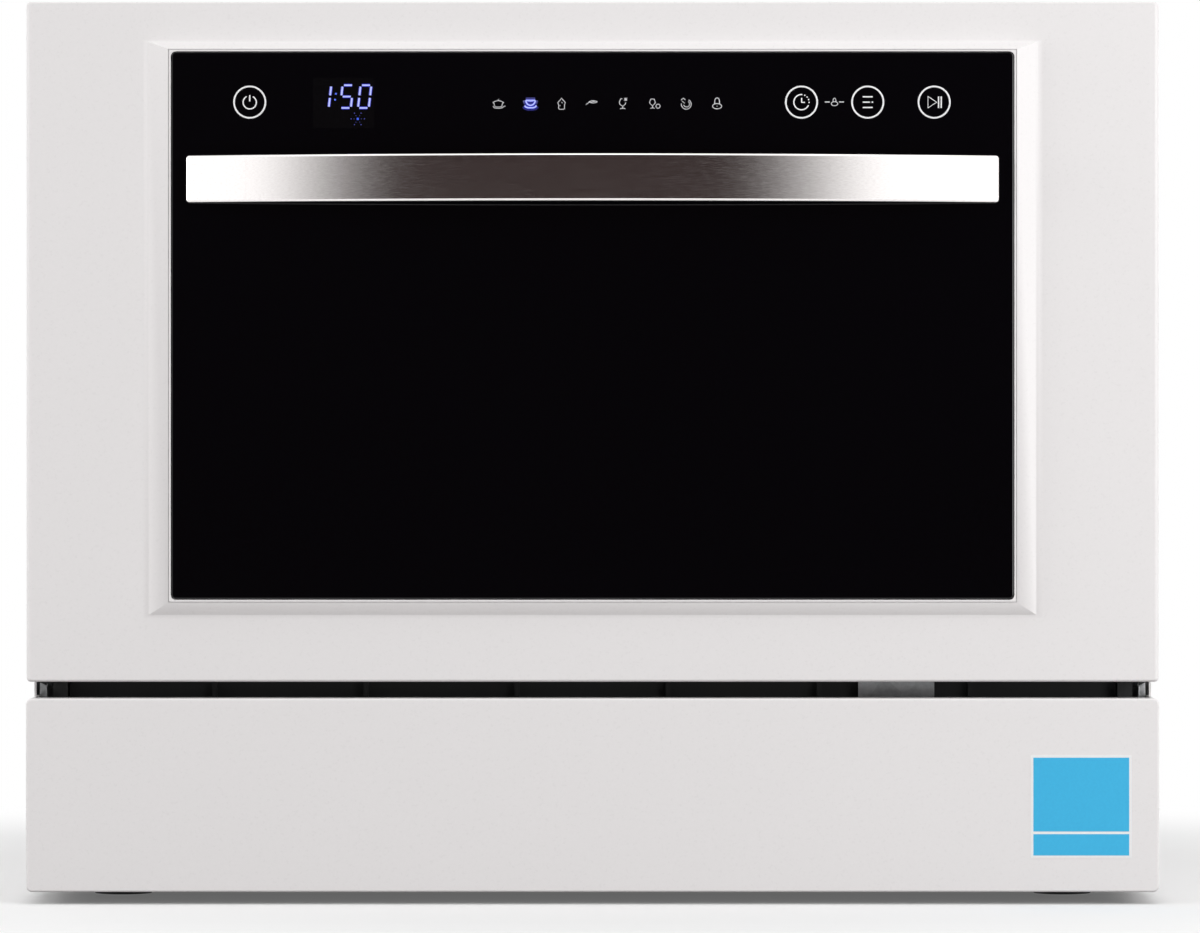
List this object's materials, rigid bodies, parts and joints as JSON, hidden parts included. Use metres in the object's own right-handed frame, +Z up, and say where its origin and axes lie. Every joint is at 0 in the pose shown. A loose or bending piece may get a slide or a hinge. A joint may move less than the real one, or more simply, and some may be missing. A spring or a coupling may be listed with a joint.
{
  "type": "countertop dishwasher",
  "caption": "Compact countertop dishwasher with a drop-down door, black glass front, bowed bar handle, sliding wire dish rack and a rotating spray arm.",
  "frame": {"origin": "middle of the object's footprint, on the floor that its feet stand on", "axes": "+Z up, the door faces -Y, +X to the right seen from the front"},
  "size_m": [0.55, 0.545, 0.438],
  "materials": {
    "white_paint": "satin white powder coat",
    "zinc_sheet": "galvanised sheet",
    "black_plastic": "moulded, lightly textured",
    "rubber": "matt",
    "stainless": "brushed stainless",
    "spring_steel": "oiled wire",
    "grey_plastic": "moulded",
    "motor_plastic": "moulded",
    "heater_steel": "heat tinted",
    "white_plastic": "moulded",
    "hose_rubber": "matt",
    "screw_steel": "zinc plated",
    "black_glass": "black printed glass, polished",
    "handle_steel": "brushed lengthwise",
    "circuit_board": "solder resist",
    "display_black": "smoked",
    "blue_plastic": "moulded",
    "coated_wire": "nylon coated",
    "roller_plastic": "moulded",
    "basket_plastic": "moulded"
  },
  "bodies": {
    "cabinet": {"cabinet_wrap": "white_paint", "kick_plate": "white_paint", "rear_panel": "zinc_sheet", "kick_bracket": "zinc_sheet", "hinge_brackets": "zinc_sheet", "latch_strike": "zinc_sheet", "base_tray": "black_plastic", "front_beam": "black_plastic", "cord_gland": "black_plastic", "float_switch": "black_plastic", "feet": "rubber", "door_seal": "rubber", "tub": "stainless", "rack_rails": "stainless", "filter_plate": "stainless", "door_spring_left": "spring_steel", "door_spring_right": "spring_steel", "sump": "grey_plastic", "spray_hub": "grey_plastic", "drain_spigot": "grey_plastic", "wash_pump": "motor_plastic", "drain_pump": "motor_plastic", "inlet_valve": "motor_plastic", "heater": "heater_steel", "air_break": "white_plastic", "power_board": "white_plastic", "inlet_hose": "hose_rubber", "drain_hose": "hose_rubber", "rear_screws": "screw_steel"},
    "door": {"door_panel": "white_paint", "glass_panel": "black_glass", "handle_bar": "handle_steel", "handle_screws": "screw_steel", "control_housing": "black_plastic", "control_board": "circuit_board", "display_module": "display_black", "door_liner": "stainless", "hinge_arm_left": "zinc_sheet", "hinge_arm_right": "zinc_sheet", "latch_body": "black_plastic", "dispenser_body": "white_plastic"},
    "latch_pawl": {"latch_pawl": "white_plastic"},
    "detergent_lid": {"detergent_lid": "grey_plastic"},
    "rinse_cap": {"rinse_cap": "blue_plastic"},
    "lid_catch": {"lid_catch": "grey_plastic"},
    "spray_arm": {"spray_arm": "grey_plastic"},
    "filter_basket": {"filter_basket": "grey_plastic"},
    "float": {"float": "white_plastic"},
    "rack": {"rack_wires": "coated_wire", "rack_rims": "coated_wire", "rack_tines": "coated_wire", "rack_shelf_frame": "coated_wire", "roller_clips": "white_plastic", "cutlery_basket": "basket_plastic", "basket_grip": "basket_plastic"},
    "cup_shelf": {"cup_shelf": "coated_wire"},
    "roller_front_left": {"roller_front_left": "roller_plastic"},
    "roller_front_right": {"roller_front_right": "roller_plastic"},
    "roller_rear_left": {"roller_rear_left": "roller_plastic"},
    "roller_rear_right": {"roller_rear_right": "roller_plastic"}
  },
  "joints": [
    {"name": "door_hinge", "type": "hinge", "parent": "cabinet", "child": "door", "pos_m": [0, -0.2215, 0.126], "axis": [1, 0, 0], "range_deg": [0, 90], "stiffness_Nm_per_rad": 5, "springref_deg": -17.19, "deforming": ["door_spring_left", "door_spring_right"]},
    {"name": "rack_slide", "type": "slide", "parent": "cabinet", "child": "rack", "axis": [0, -1, 0], "range_m": [0, 0.12505]},
    {"name": "spray_arm_spin", "type": "hinge", "parent": "cabinet", "child": "spray_arm", "pos_m": [0, 0.0095, 0.157], "axis": [0, 0, 1], "continuous": true},
    {"name": "filter_twist", "type": "hinge", "parent": "cabinet", "child": "filter_basket", "pos_m": [0.034, 0.0095, 0.14], "axis": [0, 0, 1], "range_deg": [0, 45]},
    {"name": "float_lift", "type": "slide", "parent": "cabinet", "child": "float", "axis": [0, 0, 1], "range_m": [0, 0.006]},
    {"name": "latch_pawl_turn", "type": "hinge", "parent": "door", "child": "latch_pawl", "pos_m": [0, -0.2035, 0.412], "axis": [1, 0, 0], "range_deg": [0, 14], "stiffness_Nm_per_rad": 0.02, "springref_deg": -5.73},
    {"name": "lid_slide", "type": "slide", "parent": "door", "child": "detergent_lid", "axis": [1, 0, 0], "range_m": [0, 0.058]},
    {"name": "rinse_cap_turn", "type": "hinge", "parent": "door", "child": "rinse_cap", "pos_m": [0.071, -0.19, 0.261], "axis": [0, 1, 0], "range_deg": [0, 90]},
    {"name": "lid_catch_press", "type": "slide", "parent": "door", "child": "lid_catch", "axis": [0, -1, 0], "range_m": [0, 0.002], "stiffness_N_per_m": 300, "springref_m": -0.001},
    {"name": "cup_shelf_fold", "type": "hinge", "parent": "rack", "child": "cup_shelf", "pos_m": [-0.217, 0.0135, 0.2985], "axis": [0, -1, 0], "range_deg": [0, 88]},
    {"name": "roller_front_left_roll", "type": "hinge", "parent": "rack", "child": "roller_front_left", "pos_m": [-0.215, -0.095, 0.1665], "axis": [1, 0, 0], "range_deg": [0, 598]},
    {"name": "roller_front_right_roll", "type": "hinge", "parent": "rack", "child": "roller_front_right", "pos_m": [0.215, -0.095, 0.1665], "axis": [1, 0, 0], "range_deg": [0, 598]},
    {"name": "roller_rear_left_roll", "type": "hinge", "parent": "rack", "child": "roller_rear_left", "pos_m": [-0.215, 0.122, 0.1665], "axis": [1, 0, 0], "range_deg": [0, 598]},
    {"name": "roller_rear_right_roll", "type": "hinge", "parent": "rack", "child": "roller_rear_right", "pos_m": [0.215, 0.122, 0.1665], "axis": [1, 0, 0], "range_deg": [0, 598]}
  ],
  "couplings": [
    {"joint": "rack_slide", "follows": "door_hinge", "m_per_rad": 0.079577},
    {"joint": "roller_front_left_roll", "follows": "door_hinge", "ratio": 6.6314},
    {"joint": "roller_front_right_roll", "follows": "door_hinge", "ratio": 6.6314},
    {"joint": "roller_rear_left_roll", "follows": "door_hinge", "ratio": 6.6314},
    {"joint": "roller_rear_right_roll", "follows": "door_hinge", "ratio": 6.6314}
  ]
}
